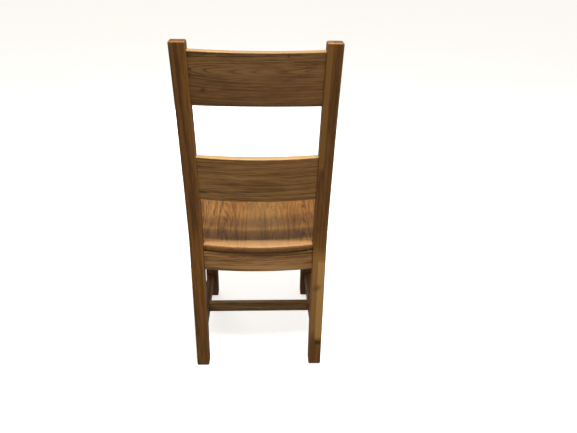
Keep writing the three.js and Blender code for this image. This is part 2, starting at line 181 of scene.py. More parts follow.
def makeGrainGroup():
    tree = bpy.data.node_groups.new("oakGrain", "ShaderNodeTree")
    face = tree.interface
    face.new_socket("Board", in_out="INPUT", socket_type="NodeSocketVector")
    for label in ("Ring Spacing", "Wobble", "Swell", "Seed"):
        face.new_socket(label, in_out="INPUT", socket_type="NodeSocketFloat")
    for label in ("Shade", "Pores", "Fibre", "Bands", "Drift", "Height"):
        face.new_socket(label, in_out="OUTPUT", socket_type="NodeSocketFloat")
    given = tree.nodes.new("NodeGroupInput").outputs
    board, seed = given["Board"], given["Seed"]
    moved = vectorSums(tree, "ADD", board, scaled(tree, (3.1, 1.7, 2.3), seed))

    # the rings' centre wanders along the board
    wander = noise(tree, moved, (2.6, 11.0, 11.0), 2.5).outputs["Color"]
    centred = vectorSums(tree, "SUBTRACT", wander, (0.5, 0.5, 0.5))
    across = vectorSums(tree, "MULTIPLY", centred, (0.0, 1.0, 1.0))
    pushed = scaled(tree, across, given["Wobble"])
    fromHeart = vectorSums(tree, "MULTIPLY", board, (0.0, 1.0, 1.0))
    radius = vectorSums(tree, "LENGTH", vectorSums(tree, "ADD", fromHeart, pushed))
    swollen = sums(tree, "ADD", radius, given["Swell"])
    phase = sums(tree, "DIVIDE", swollen, given["Ring Spacing"])
    uneven = add(tree, "ShaderNodeTexNoise", {"Scale": 0.55, "Detail": 1.0}, noise_dimensions="1D")
    tree.links.new(sums(tree, "ADD", phase, seed), uneven.inputs["W"])
    count = sums(tree, "ADD", phase, sums(tree, "MULTIPLY", uneven.outputs[0], 1.8))
    ring = sums(tree, "FRACT", count)

    # open early wood, dense late wood, then a sharp step to the next ring
    ramp = add(tree, "ShaderNodeValToRGB", {0: ring})
    stops = [(0.0, 0.16), (0.16, 0.30), (0.38, 0.72), (0.80, 0.94), (0.95, 0.78), (1.0, 0.20)]
    elements = ramp.color_ramp.elements
    while len(elements) < len(stops):
        elements.new(0.5)
    for element, (place, level) in zip(elements, stops):
        element.position = place
        element.color = rgba([level] * 3)

    # all of these are drawn out along the grain
    early = ranged(tree, ring, 0.05, 0.42, 1.0, 0.12)
    fibre = noise(tree, moved, (20.0, 320.0, 320.0), 3.0, 0.65).outputs[0]
    bands = noise(tree, moved, (3.0, 112.0, 112.0), 3.0, 0.62).outputs[0]
    dashes = noise(tree, moved, (110.0, 1500.0, 1500.0), 1.0).outputs[0]
    pores = sums(tree, "MULTIPLY", ranged(tree, dashes, 0.54, 0.64), early)
    drift = noise(tree, moved, (1.6, 9.0, 9.0), 2.0).outputs[0]
    sunk = sums(tree, "MULTIPLY", pores, -1.0)
    add(tree, "NodeGroupOutput", {
        "Shade": ramp.outputs[0],
        "Pores": pores,
        "Fibre": fibre,
        "Bands": bands,
        "Drift": drift,
        "Height": sums(tree, "MULTIPLY_ADD", fibre, 0.35, sunk),
    })
    return tree


grainGroup = makeGrainGroup()

frameTones = {
    "light": (0.235, 0.122, 0.041),
    "dark": (0.068, 0.031, 0.009),
    "warm": (0.170, 0.072, 0.021),
    "pore": (0.035, 0.016, 0.005),
}
postTones = {
    "light": (0.190, 0.080, 0.015),
    "dark": (0.072, 0.029, 0.0055),
    "warm": (0.160, 0.055, 0.008),
    "pore": (0.030, 0.012, 0.003),
}
seatTones = {
    "light": (0.425, 0.196, 0.050),
    "dark": (0.120, 0.045, 0.009),
    "warm": (0.330, 0.120, 0.024),
    "pore": (0.070, 0.028, 0.008),
}
pineTones = {
    "light": (0.230, 0.150, 0.070),
    "dark": (0.145, 0.080, 0.033),
    "warm": (0.190, 0.105, 0.042),
    "pore": (0.090, 0.050, 0.022),
}

# What a piece's dictionary may leave out
plainWood = {
    "heart": (0.0, 0.0, 0.0),  # a point on the heart line
    "turn": (0.0, 0.0, 0.0),  # degrees, from grain along X
    "ringSpacing": 0.0035,
    "wobble": 0.012,
    "seed": 0.0,
    "straight": False,  # the grain follows the bend
    "joints": (),  # glue lines, at these x
    "jointShift": (0.31, 0.023, 0.011),  # how far one strip's timber lies from the next one's
    "stripTint": 0.0,  # how much paler or darker a strip may be
    "marks": (),
    "tones": frameTones,
    # per-piece colour gain: painted light and shade, lifting or lowering a piece's colour to make up for
    # how the lamps light it
    "gain": (1.0, 1.0, 1.0),
    "rings": 0.75,  # how strongly each figure shows
    "bands": 0.68,
    "fibres": 0.55,
    "poreDepth": 0.5,
    "endGrain": 0.3,
    "roughness": (0.38, 0.54),
    "coat": 0.04,
}


# A knot, a streak, a pale patch, or a painted highlight or painted shade: an ellipsoid or a box in the
# piece's own coordinates
plainMark = {
    "turn": (0.0, 0.0, 0.0),  # degrees
    "soft": 0.4,  # share of the size over which it fades
    "ragged": 0.5,
    "square": False,
    "swell": 0.0,  # how far the rings part round it
}


def colourMark(at, size, colour, amount, **changes):
    return {**plainMark, "at": at, "size": size, "colour": colour, "amount": amount, **changes}


def markFactor(tree, place, mark):
    inputs = {
        "Vector": place,
        "Location": mark["at"],
        "Rotation": inRadians(mark["turn"]),
        "Scale": mark["size"],
    }
    local = add(tree, "ShaderNodeMapping", inputs, vector_type="TEXTURE").outputs[0]
    rough = noise(tree, local, (1.5, 1.5, 1.5), 2.0).outputs["Color"]
    centred = vectorSums(tree, "SUBTRACT", rough, (0.5, 0.5, 0.5))
    ragged = vectorSums(tree, "MULTIPLY", centred, (mark["ragged"],) * 3)
    shifted = vectorSums(tree, "ADD", local, ragged)
    if mark["square"]:
        sizes = vectorSums(tree, "ABSOLUTE", shifted)
        x, y, z = add(tree, "ShaderNodeSeparateXYZ", {0: sizes}).outputs
        away = sums(tree, "MAXIMUM", sums(tree, "MAXIMUM", x, y), z)
    else:
        away = vectorSums(tree, "LENGTH", shifted)
    return ranged(tree, away, 1.0 - mark["soft"], 1.0, 1.0, 0.0)


# Each strip of a glued panel is cut from another part of the timber, and is a little paler or darker
def stripShift(tree, place, look):
    x = add(tree, "ShaderNodeSeparateXYZ", {0: place}).outputs[0]
    index = 0.0
    for line in look["joints"]:
        index = sums(tree, "ADD", index, sums(tree, "GREATER_THAN", x, line))
    tintSeed = look["seed"] + 0.37
    inputs = {"W": sums(tree, "ADD", index, tintSeed)}
    roll = add(tree, "ShaderNodeTexWhiteNoise", inputs, noise_dimensions="1D")
    amount = look["stripTint"]
    tint = ranged(tree, roll.outputs[0], 0.0, 1.0, 1.0 - amount, 1.0 + amount)
    return scaled(tree, look["jointShift"], index), tint


def woodMaterial(name, **changes):
    look = {**plainWood, **changes}
    tones = look["tones"]
    material, tree = newMaterial(name)
    if look["straight"]:
        place = add(tree, "ShaderNodeAttribute", attribute_name="straight").outputs["Vector"]
    else:
        place = add(tree, "ShaderNodeTexCoord").outputs["Object"]
    turn = inRadians(look["turn"])
    inputs = {"Vector": place, "Location": look["heart"], "Rotation": turn}
    board = add(tree, "ShaderNodeMapping", inputs, vector_type="TEXTURE").outputs[0]
    tint = None
    if look["joints"]:
        shift, tint = stripShift(tree, place, look)
        board = vectorSums(tree, "ADD", board, shift)
    swell = 0.0
    marked = []
    for mark in look["marks"]:
        factor = markFactor(tree, place, mark)
        marked.append((factor, mark))
        if mark["swell"]:
            swell = sums(tree, "ADD", swell, sums(tree, "MULTIPLY", factor, mark["swell"]))
    given = add(tree, "ShaderNodeGroup", {
        "Board": board,
        "Ring Spacing": look["ringSpacing"],
        "Wobble": look["wobble"],
        "Swell": swell,
        "Seed": look["seed"],
    }, node_tree=grainGroup).outputs

    fibres = ranged(tree, given["Fibre"], 0.25, 0.75, -look["fibres"], look["fibres"])
    bands = ranged(tree, given["Bands"], 0.3, 0.7, -look["bands"], look["bands"])
    rings = sums(tree, "MULTIPLY_ADD", given["Shade"], look["rings"], 0.5 - 0.62 * look["rings"])
    streaks = sums(tree, "ADD", fibres, bands)
    shade = add(tree, "ShaderNodeMath", {0: rings, 1: streaks}, operation="ADD", use_clamp=True)
    colour = mixed(tree, shade.outputs[0], rgba(tones["dark"]), rgba(tones["light"]))
    warm = ranged(tree, given["Drift"], 0.38, 0.68, 0.0, 0.5)
    colour = mixed(tree, warm, colour, rgba(tones["warm"]))
    poreAmount = sums(tree, "MULTIPLY", given["Pores"], look["poreDepth"])
    colour = mixed(tree, poreAmount, colour, rgba(tones["pore"]))
    if tint is not None:
        grey = add(tree, "ShaderNodeCombineXYZ", {0: tint, 1: tint, 2: tint}).outputs[0]
        colour = mixed(tree, 1.0, colour, grey, "MULTIPLY")
    for factor, mark in marked:
        share = sums(tree, "MULTIPLY", factor, mark["amount"])
        colour = mixed(tree, share, colour, rgba(mark["colour"]))
    # the per-piece gain paints in light and shade: it lifts pieces the lamps leave too dark
    colour = mixed(tree, 1.0, colour, rgba(look["gain"]), "MULTIPLY")

    # end grain takes up more stain
    along = Euler(turn).to_matrix() @ Vector((1, 0, 0))
    facing = add(tree, "ShaderNodeTexCoord").outputs["Normal"]
    alongGrain = add(tree, "ShaderNodeVectorMath", {0: facing, 1: along}, operation="DOT_PRODUCT")
    endOn = sums(tree, "ABSOLUTE", alongGrain.outputs["Value"])
    ends = ranged(tree, endOn, 0.35, 0.85, 0.0, look["endGrain"])
    colour = mixed(tree, ends, colour, rgba([tone * 0.45 for tone in tones["dark"]]))

    # the eased edges are rubbed paler by hands, cloths and shoes
    wear = add(tree, "ShaderNodeAttribute", attribute_name="wear").outputs["Fac"]
    scuffs = noise(tree, place, (55.0, 55.0, 55.0), 4.0, 0.65).outputs[0]
    rubbed = sums(tree, "MULTIPLY", wear, ranged(tree, scuffs, 0.42, 0.62, 0.1, 0.6))
    colour = mixed(tree, rubbed, colour, rgba([min(1.0, tone * 1.35) for tone in tones["light"]]))

    smudge = noise(tree, place, (9.0, 9.0, 9.0), 3.0).outputs[0]
    rough = ranged(tree, smudge, 0.35, 0.65, *look["roughness"])
    rough = sums(tree, "ADD", rough, sums(tree, "MULTIPLY", given["Pores"], 0.15))
    relief = {"Height": given["Height"], "Strength": 0.55, "Distance": 0.0003}
    bump = add(tree, "ShaderNodeBump", relief)
    shader = add(tree, "ShaderNodeBsdfPrincipled", {
        "Base Color": colour,
        "Roughness": rough,
        "Normal": bump.outputs[0],
        "IOR": 1.48,
        "Specular IOR Level": 0.36,
        "Coat Weight": look["coat"],
        "Coat Roughness": 0.28,
    })
    out = add(tree, "ShaderNodeOutputMaterial", {0: shader.outputs[0]})
    out.is_active_output = True
    return material


# Mesh helpers

def newPiece(name, mesh):
    piece = bpy.data.objects.new(name, mesh)
    bpy.context.scene.collection.objects.link(piece)
    return piece


def pieceFrom(name, shape):
    mesh = bpy.data.meshes.new(name)
    shape.to_mesh(mesh)
    shape.free()
    return newPiece(name, mesh)


def roundedRectangle(halfWidth, halfHeight, radius):
    points = []
    for corner, (signX, signY) in enumerate([(1, 1), (-1, 1), (-1, -1), (1, -1)]):
        for step in range(easeSteps + 1):
            angle = (corner + step / easeSteps) * math.pi / 2
            x = signX * (halfWidth - radius) + radius * math.cos(angle)
            y = signY * (halfHeight - radius) + radius * math.sin(angle)
            points.append((x, y))
    return points


# Rings of points joined into a closed bar. The rounded corners and the eased ends are marked as worn.
def loft(rings, easedRows):
    shape = bmesh.new()
    wear = shape.faces.layers.float.new("wear")
    rows = [[shape.verts.new(point) for point in ring] for ring in rings]
    count = len(rings[0])
    for row, (lower, upper) in enumerate(zip(rows, rows[1:])):
        for i in range(count):
            j = (i + 1) % count
            face = shape.faces.new((lower[i], lower[j], upper[j], upper[i]))
            rounded = i % (easeSteps + 1) != easeSteps
            face[wear] = 1.0 if rounded or row in easedRows else 0.0
    shape.faces.new(list(reversed(rows[0])))
    shape.faces.new(rows[-1])
    bmesh.ops.recalc_face_normals(shape, faces=shape.faces[:])
    return shape


# Stations along a bar: how far along each ring is, and how far it is drawn in.
def barStations(start, end, startEase, endEase, spans):
    def easing(at, way, ease):
        angles = [step / easeSteps * math.pi / 2 for step in range(easeSteps)] if ease > 0 else []
        return [(at + way * ease * (1 - math.cos(angle)), ease * (1 - math.sin(angle))) for angle in angles]

    first, last = easing(start, 1, startEase), easing(end, -1, endEase)
    inner, outer = start + startEase, end - endEase
    middle = [(inner + (outer - inner) * i / spans, 0.0) for i in range(spans + 1)]
    eased = list(range(len(first)))
    eased += [len(first) + spans + i for i in range(len(last))]
    return first + middle + last[::-1], eased


def easedBar(low, high, axis, ease, startEase=0.0, endEase=0.0, spans=1):
    others = [i for i in range(3) if i != axis]
    middle = (low + high) / 2
    half = (high - low) / 2
    stations, eased = barStations(low[axis], high[axis], startEase, endEase, spans)
    rings = []
    for along, inset in stations:
        outline = roundedRectangle(half[others[0]] - inset, half[others[1]] - inset, ease)
        ring = []
        for a, b in outline:
            point = Vector((0, 0, 0))
            point[axis] = along
            point[others[0]] = middle[others[0]] + a
            point[others[1]] = middle[others[1]] + b
            ring.append(point)
        rings.append(ring)
    return loft(rings, eased)


def addBox(shape, centre, size, lean=0.0):
    corners = bmesh.ops.create_cube(shape, size=1.0)["verts"]
    for corner in corners:
        x, y, z = corner.co
        corner.co = (
            centre[0] + x * size[0],
            centre[1] + y * size[1] + lean * z * size[2],
            centre[2] + z * size[2],
        )


def addRod(shape, start, way, radius, begin, end):
    turn = Vector((0, 0, 1)).rotation_difference(Vector(way)).to_matrix()
    made = bmesh.ops.create_cone(
        shape, cap_ends=True, segments=24, radius1=radius, radius2=radius, depth=end - begin
    )["verts"]
    for corner in made:
        corner.co = Vector(start) + turn @ (corner.co + Vector((0, 0, (begin + end) / 2)))


# Where each point would be if its piece were unbent: grain that follows a bend reads this.
def keepStraight(piece, unbend):
    places = piece.data.attributes.new("straight", "FLOAT_VECTOR", "POINT")
    for vertex, place in zip(piece.data.vertices, places.data):
        place.vector = unbend(*vertex.co)


def evaluatedMesh(piece):
    graph = bpy.context.evaluated_depsgraph_get()
    return bpy.data.meshes.new_from_object(
        piece.evaluated_get(graph), preserve_all_data_layers=True, depsgraph=graph
    )


def carve(piece, shape, operation):
    if not shape.verts:
        shape.free()
        return
    tool = pieceFrom("tool", shape)
    change = piece.modifiers.new("joint", "BOOLEAN")
    change.operation = operation
    change.solver = "EXACT"
    change.object = tool
    mesh = evaluatedMesh(piece)
    piece.modifiers.clear()
    piece.data = mesh
    bpy.data.objects.remove(tool)


# A tenon's block joins its rail, and the same block, grown by the fit, cuts its mortise.
def joinTenons(piece, tenons):
    shape = bmesh.new()
    for tenon in tenons:
        addBox(shape, tenon["centre"], tenon["size"], tenon.get("lean", 0.0))
    carve(piece, shape, "UNION")


def cutMortises(piece, tenons, rods=()):
    shape = bmesh.new()
    for tenon in tenons:
        size = [length + 2 * fit for length in tenon["size"]]
        size[tenon["axis"]] += 2 * glueSpace
        addBox(shape, tenon["centre"], size, tenon.get("lean", 0.0))
    for rod in rods:
        addRod(shape, **rod)
    carve(piece, shape, "DIFFERENCE")


sharpAngle = math.radians(42)


def finishPiece(piece, material, slot, *nodes):
    piece.data.materials.clear()
    piece.data.materials.append(material)
    piece.data.shade_smooth()
    piece.data.set_sharp_from_angle(angle=sharpAngle)
    weights = piece.modifiers.new("evenFaces", "WEIGHTED_NORMAL")
    weights.keep_sharp = True
    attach(piece, "root")
    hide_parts(*nodes)


# Geometry Nodes helpers

def newTree(name, sizes):
    tree = bpy.data.node_groups.new(name, "GeometryNodeTree")
    face = tree.interface
    face.new_socket("Geometry", in_out="INPUT", socket_type="NodeSocketGeometry")
    for label, value in sizes.items():
        kind = "NodeSocketVector" if isinstance(value, (tuple, Vector)) else "NodeSocketFloat"
        face.new_socket(label, in_out="INPUT", socket_type=kind).default_value = value
    face.new_socket("Material", in_out="INPUT", socket_type="NodeSocketMaterial")
    face.new_socket("Geometry", in_out="OUTPUT", socket_type="NodeSocketGeometry")
    return tree, tree.nodes.new("NodeGroupInput").outputs


def endTree(tree, geometry, material):
    real = add(tree, "GeometryNodeRealizeInstances", {0: geometry}).outputs[0]
    painted = add(tree, "GeometryNodeSetMaterial", {"Geometry": real, "Material": material})
    add(tree, "NodeGroupOutput", {0: painted.outputs[0]})


def runTree(piece, tree, values):
    change = piece.modifiers.new(tree.name, "NODES")
    change.node_group = tree
    for item in tree.interface.items_tree:
        if item.item_type == "SOCKET" and item.in_out == "INPUT" and item.name in values:
            change[item.identifier] = values[item.name]
    mesh = evaluatedMesh(piece)
    piece.modifiers.clear()
    piece.data = mesh


# Bends a straight bar, of which the back face is at y = 0, the underside at z = 0 and the middle at x = 0.
def makeBendTree():
    sizes = {
        "Half Length": 0.16,
        "Thickness": 0.02,
        "Height": 0.1,
        "Back Bow": 0.0,
        "Front Bow": 0.0,
        "Lean": 0.0,
        "Arch": 0.0,
        "Place": (0.0, 0.0, 0.0),
    }
    tree, given = newTree("bowedRail", sizes)
    at = add(tree, "GeometryNodeInputPosition").outputs[0]
    x, y, z = add(tree, "ShaderNodeSeparateXYZ", {0: at}).outputs
    share = sums(tree, "DIVIDE", x, given["Half Length"])
    rise = sums(tree, "SUBTRACT", 1.0, sums(tree, "MULTIPLY", share, share))
    behind = sums(tree, "ADD", 1.0, sums(tree, "DIVIDE", y, given["Thickness"]))
    extra = sums(tree, "SUBTRACT", given["Back Bow"], given["Front Bow"])
    bow = sums(tree, "MULTIPLY", rise, sums(tree, "MULTIPLY_ADD", extra, behind, given["Front Bow"]))
    back = sums(tree, "MULTIPLY_ADD", given["Lean"], z, bow)
    below = sums(tree, "SUBTRACT", 1.0, sums(tree, "DIVIDE", z, given["Height"]))
    lift = sums(tree, "MULTIPLY", sums(tree, "MULTIPLY", rise, below), given["Arch"])
    push = add(tree, "ShaderNodeCombineXYZ", {1: back, 2: lift}).outputs[0]
    bent = add(tree, "GeometryNodeSetPosition", {
        "Geometry": given["Geometry"],
        "Offset": vectorSums(tree, "ADD", push, given["Place"]),
    })
    endTree(tree, bent.outputs[0], given["Material"])
    return tree


bendTree = makeBendTree()
print("helpers and trees made")


# Shape of the back posts

postShape = {
    "depth": 0.040,
    "topDepth": 0.034,
    "kneeBelowSeat": 0.028,
    "kneeRadius": 0.550,
    "kneeAngle": math.radians(10),
    "sweepRadius": 5.900,
    "ease": 0.0026,
    "endEase": 0.004,
}
straightBack = postLow.y + postShape["depth"]
straightFront = postLow.y
kneeStart = seatHigh.z - postShape["kneeBelowSeat"]
kneeTop = kneeStart + postShape["kneeRadius"] * math.sin(postShape["kneeAngle"])


def postBack(z):
    knee, sweep, angle = postShape["kneeRadius"], postShape["sweepRadius"], postShape["kneeAngle"]
    if z <= kneeStart:
        return straightBack
    if z <= kneeTop:
        return straightBack + knee - math.sqrt(knee ** 2 - (z - kneeStart) ** 2)
    centreZ = kneeTop - sweep * math.sin(angle)
    centreY = straightBack + knee * (1 - math.cos(angle)) + sweep * math.cos(angle)
    return centreY - math.sqrt(sweep ** 2 - (z - centreZ) ** 2)


def postDepth(z):
    share = max(0.0, (z - kneeStart) / (postHigh.z - kneeStart))
    return postShape["depth"] + (postShape["topDepth"] - postShape["depth"]) * share


# Tenons at both ends of a piece that runs along X or along Y
tenonRoot = 0.006


def crossTenons(inner, y, z, thickness, height, length, lean=0.0):
    return [{
        "axis": 0,
        "centre": (side * (inner + (length - tenonRoot) / 2), y, z),
        "size": (length + tenonRoot, thickness, height),
        "lean": lean,
    } for side in (1, -1)]


def depthTenons(x, z, thickness, height, length):
    reach = (length - tenonRoot) / 2
    return [{
        "axis": 1,
        "centre": (x, y, z),
        "size": (thickness, length + tenonRoot, height),
    } for y in (straightFront + reach, legHigh.y - reach)]


# Bowed rails: the two rails of the back and the apron under the back of the seat

crestRail = {
    "node": "crest_rail",
    "thickness": 0.024,
    "backBow": 0.022,
    "frontBow": 0.022,
    "arch": 0.004,
    "ends": 0.008,  # behind this much of the post's back face
    "ease": 0.002,
    "tenon": (0.010, 0.012, 0.020),  # thickness, shoulder above and below, length
}
lumbarRail = {
    "node": "lumbar_rail",
    "thickness": 0.020,
    "backBow": 0.019,
    "frontBow": 0.015,
    "arch": 0.0,
    "ends": 0.008,
    "ease": 0.002,
    "tenon": (0.010, 0.012, 0.020),
}
rearApron = {
    "node": "rear_apron",
    "thickness": 0.020,
    "backBow": 0.014,
    "frontBow": 0.0,
    "arch": 0.0,
    "frontFace": 0.005,  # behind the posts' front faces
    "ease": 0.0015,
    "tenon": (0.008, 0.010, None),
}
railSpans = 48


def bowedRail(name, rail, material):
    low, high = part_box(rail["node"])
    height = high.z - low.z
    half = postLow.x - fit
    if "frontFace" in rail:
        backAtEnds = straightFront + rail["frontFace"] + rail["thickness"]
        lean = 0.0
    else:
        backAtEnds = postBack(low.z) - rail["ends"]
        lean = (postBack(high.z) - postBack(low.z)) / height
    bar = easedBar(
        Vector((-half, -rail["thickness"], 0)), Vector((half, 0, height)), 0, rail["ease"], spans=railSpans
    )
    piece = pieceFrom(name, bar)
    runTree(piece, bendTree, {
        "Half Length": half,
        "Thickness": rail["thickness"],
        "Height": height,
        "Back Bow": rail["backBow"],
        "Front Bow": rail["frontBow"],
        "Lean": lean,
        "Arch": rail["arch"],
        "Place": (0.0, backAtEnds, low.z),
        "Material": material,
    })
    thickness, shoulder, length = rail["tenon"]
    if length is None:
        length = high.x - postLow.x
    middle = height / 2
    tenons = crossTenons(
        postLow.x,
        backAtEnds + lean * middle - rail["thickness"] / 2,
        low.z + middle,
        thickness,
        height - 2 * shoulder,
        length,
        lean,
    )
    joinTenons(piece, tenons)

    def unbend(x, y, z):
        rise = max(0.0, 1 - (x / half) ** 2)
        return Vector((x, y - rail["backBow"] * rise - lean * (z - low.z), z))

    return piece, tenons, unbend


crestLow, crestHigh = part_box("crest_rail")
lumbarLow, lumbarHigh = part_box("lumbar_rail")
apronLow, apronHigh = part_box("rear_apron")
crestBack = postBack(crestLow.z)
lumbarBack = postBack(lumbarLow.z)

# the first colour is a painted highlight for the rails' top edges
rimHighlight = (0.50, 0.325, 0.150)
paleFleck = (0.250, 0.145, 0.060)
darkKnot = (0.030, 0.014, 0.006)


# A painted highlight: a pale band along the top back edge of a rail
def rimHighlightMark(rail, high):
    return colourMark((0.0, high.y, high.z), (0.6, 0.4, rail["ease"] * 1.2), rimHighlight, 0.5)


crestOak = woodMaterial(
    "crestOak",
    straight=True,
    heart=(0.0, crestBack - 0.020, 0.981),
    turn=(0.0, 0.0, -4.0),
    ringSpacing=0.0036,
    wobble=0.007,
    seed=1.3,
    rings=1.5,
    bands=0.55,
    gain=(1.05, 1.03, 0.98),
    marks=(
        rimHighlightMark(crestRail, crestHigh),
        colourMark((0.129, crestBack, 0.932), (0.0095, 0.05, 0.0065), darkKnot, 0.75, soft=0.8, swell=0.003),
        colourMark((-0.073, crestBack, 1.021), (0.0035, 0.05, 0.0075), darkKnot, 0.65, soft=0.7, swell=0.003),
        colourMark((0.015, crestBack, 0.981), (0.13, 0.2, 0.028), (0.245, 0.142, 0.060), 0.45, soft=0.9),
        colourMark((0.0, crestBack, 0.885), (0.4, 0.2, 0.040), (0.100, 0.046, 0.014), 0.35, soft=0.9),
    ),
)
lumbarOak = woodMaterial(
    "lumbarOak",
    straight=True,
    heart=(0.0, lumbarBack - 0.045, 0.500),
    turn=(0.0, 0.7, 0.5),
    ringSpacing=0.0030,
    wobble=0.006,
    seed=4.7,
    # gain above one: painted light on the rail's shaded back face
    gain=(1.44, 1.48, 1.42),
    marks=(
        rimHighlightMark(lumbarRail, lumbarHigh),
        colourMark((0.150, lumbarBack, 0.633), (0.024, 0.2, 0.0050), (0.035, 0.016, 0.006), 0.85, soft=0.7),
        colourMark(
            (0.068, lumbarBack, 0.687),
            (0.050, 0.2, 0.0050),
            paleFleck,
            0.5,
            turn=(0.0, -13.0, 0.0),
            soft=0.8,
        ),
        colourMark(
            (-0.060, lumbarBack, 0.671),
            (0.034, 0.2, 0.0040),
            paleFleck,
            0.5,
            turn=(0.0, -6.0, 0.0),
            soft=0.8,
        ),
    ),
)
apronOak = woodMaterial(
    "apronOak",
    straight=True,
    heart=(0.0, apronLow.y - 0.012, 0.330),
    turn=(0.0, 1.0, -1.2),
    ringSpacing=0.0060,
    wobble=0.008,
    seed=7.9,
    # gain above one: painted light on the apron's shaded back face
    gain=(1.42, 1.42, 1.46),
    marks=(
        # the next mark is a darker band high on the back face, just under the seat: painted shade
        colourMark((0.02, apronHigh.y, 0.401), (0.15, 0.2, 0.0065), (0.150, 0.060, 0.026), 0.5, soft=0.8),
        colourMark((-0.01, apronHigh.y, 0.374), (0.18, 0.2, 0.011), (0.270, 0.155, 0.060), 0.55, soft=0.7),
    ),
)

crest, crestTenons, unbend = bowedRail("crestRail", crestRail, crestOak)
keepStraight(crest, unbend)
finishPiece(crest, crestOak, "frame_oak", "crest_rail")
lumbar, lumbarTenons, unbend = bowedRail("lumbarRail", lumbarRail, lumbarOak)
keepStraight(lumbar, unbend)
finishPiece(lumbar, lumbarOak, "frame_oak", "lumbar_rail")
apron, rearApronTenons, unbendApron = bowedRail("rearApron", rearApron, apronOak)
print("bowed rails made")


# Aprons and stretchers

straightBars = {
    "apronTenon": (0.008, 0.010, 0.018),  # thickness, shoulder above and below, length
    "apronEase": 0.0015,
    "stretcherTenon": (0.009, 0.006, 0.018),
    "crossTenonLength": 0.014,
    "stretcherEase": 0.002,
}


# A bar across the chair, with its shoulders at x = inner and x = -inner
def crossBarTenons(low, high, inner, sizes, length):
    thickness, shoulder = straightBars[sizes][:2]
    height = high.z - low.z - 2 * shoulder
    return crossTenons(inner, (low.y + high.y) / 2, (low.z + high.z) / 2, thickness, height, length)


def crossBarPiece(name, low, high, inner, ease, tenons):
    start, end = Vector((-inner + fit, low.y, low.z)), Vector((inner - fit, high.y, high.z))
    bar = pieceFrom(name, easedBar(start, end, 0, straightBars[ease]))
    joinTenons(bar, tenons)
    return bar


frontLow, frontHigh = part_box("front_apron")
frontTenons = crossBarTenons(frontLow, frontHigh, legLow.x, "apronTenon", frontHigh.x - legLow.x)
sideTenons = {}
for name, side in sideOf.items():
    for kind, sizes in (("apron", "apronTenon"), ("stretcher", "stretcherTenon")):
        low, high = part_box(f"side_{kind}_{name}")
        thickness, shoulder, length = straightBars[sizes]
        height = high.z - low.z - 2 * shoulder
        middle = (low + high) / 2
        sideTenons[kind, name] = depthTenons(middle.x, middle.z, thickness, height, length)

crossLow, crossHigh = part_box("cross_stretcher")
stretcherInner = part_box("side_stretcher_left")[0].x
crossStretcherTenons = crossBarTenons(
    crossLow, crossHigh, stretcherInner, "stretcherTenon", straightBars["crossTenonLength"]
)


# Corner blocks and their screws

cornerBlocks = {
    "reach": 0.074,  # along each apron
    "height": 0.024,
    "clear": 0.002,  # round the post or leg
    "screwFromTip": 0.020,
    "screwSeat": 0.010,  # from the apron to the underside of the screw's head
    "seatScrewIn": 0.009,  # from the notch
    "ease": 0.001,
}
screwSizes = {
    "radius": 0.002,
    "headRadius": 0.004,
    "headHeight": 0.0026,
    "headRoom": 0.0006,  # round the head in its counterbore
    "tipLength": 0.004,
    "apronLength": 0.025,
    "seatLength": 0.038,
    "threadPitch": 0.0018,
    "crossHeight": 0.003,  # the recess's cutter, half of it in the head
}


def cornerLayout(side, end):
    inward = 1 if end == "front" else -1
    apronFace = frontHigh.y if end == "front" else straightFront + rearApron["frontFace"]
    cornerX = legLow.x if end == "front" else postLow.x
    cornerY = legHigh.y if end == "front" else straightFront
    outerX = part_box("side_apron_left")[0].x - fit
    outerY = apronFace + inward * fit
    notchX = cornerX - cornerBlocks["clear"]
    notchY = cornerY + inward * cornerBlocks["clear"]
    reach, tip = cornerBlocks["reach"], cornerBlocks["screwFromTip"]
    outline = [
        (outerX - reach, outerY),
        (notchX, outerY),
        (notchX, notchY),
        (outerX, notchY),
        (outerX, outerY + inward * reach),
    ]
    top = seatLow.z - fit
    bottom = top - cornerBlocks["height"]
    middle = bottom + cornerBlocks["height"] / 2
    seatIn = cornerBlocks["seatScrewIn"]
    screws = {
        "end": {
            "start": (side * (outerX - reach + tip), outerY + inward * cornerBlocks["screwSeat"], middle),
            "way": (0, -inward, 0),
            "length": screwSizes["apronLength"],
        },
        "side": {
            "start": (side * (outerX - cornerBlocks["screwSeat"]), outerY + inward * (reach - tip), middle),
            "way": (side, 0, 0),
            "length": screwSizes["apronLength"],
        },
        "seat": {
            "start": (side * (notchX - seatIn), notchY + inward * seatIn, bottom),
            "way": (0, 0, 1),
            "length": screwSizes["seatLength"],
        },
    }
    return [(side * x, y) for x, y in outline], bottom, top, screws


def screwRods(screws, withHead=True):
    rods = []
    for item in screws:
        rods.append({
            "start": item["start"],
            "way": item["way"],
            "radius": screwSizes["radius"] + fit,
            "begin": -0.001,
            "end": item["length"] + glueSpace,
        })
        if withHead:
            rods.append({
                "start": item["start"],
                "way": item["way"],
                "radius": screwSizes["headRadius"] + screwSizes["headRoom"],
                "begin": -cornerBlocks["reach"],
                "end": 0.0,
            })
    return rods


corners = {}
for end in ("front", "rear"):
    for name, side in sideOf.items():
        corners[end, name] = cornerLayout(side, end)


def screwsOf(kind, end=None, name=None):
    found = []
    for (cornerEnd, cornerName), layout in corners.items():
        if end in (None, cornerEnd) and name in (None, cornerName):
            found.append(layout[3][kind])
    return found


sameLevel = 1e-9


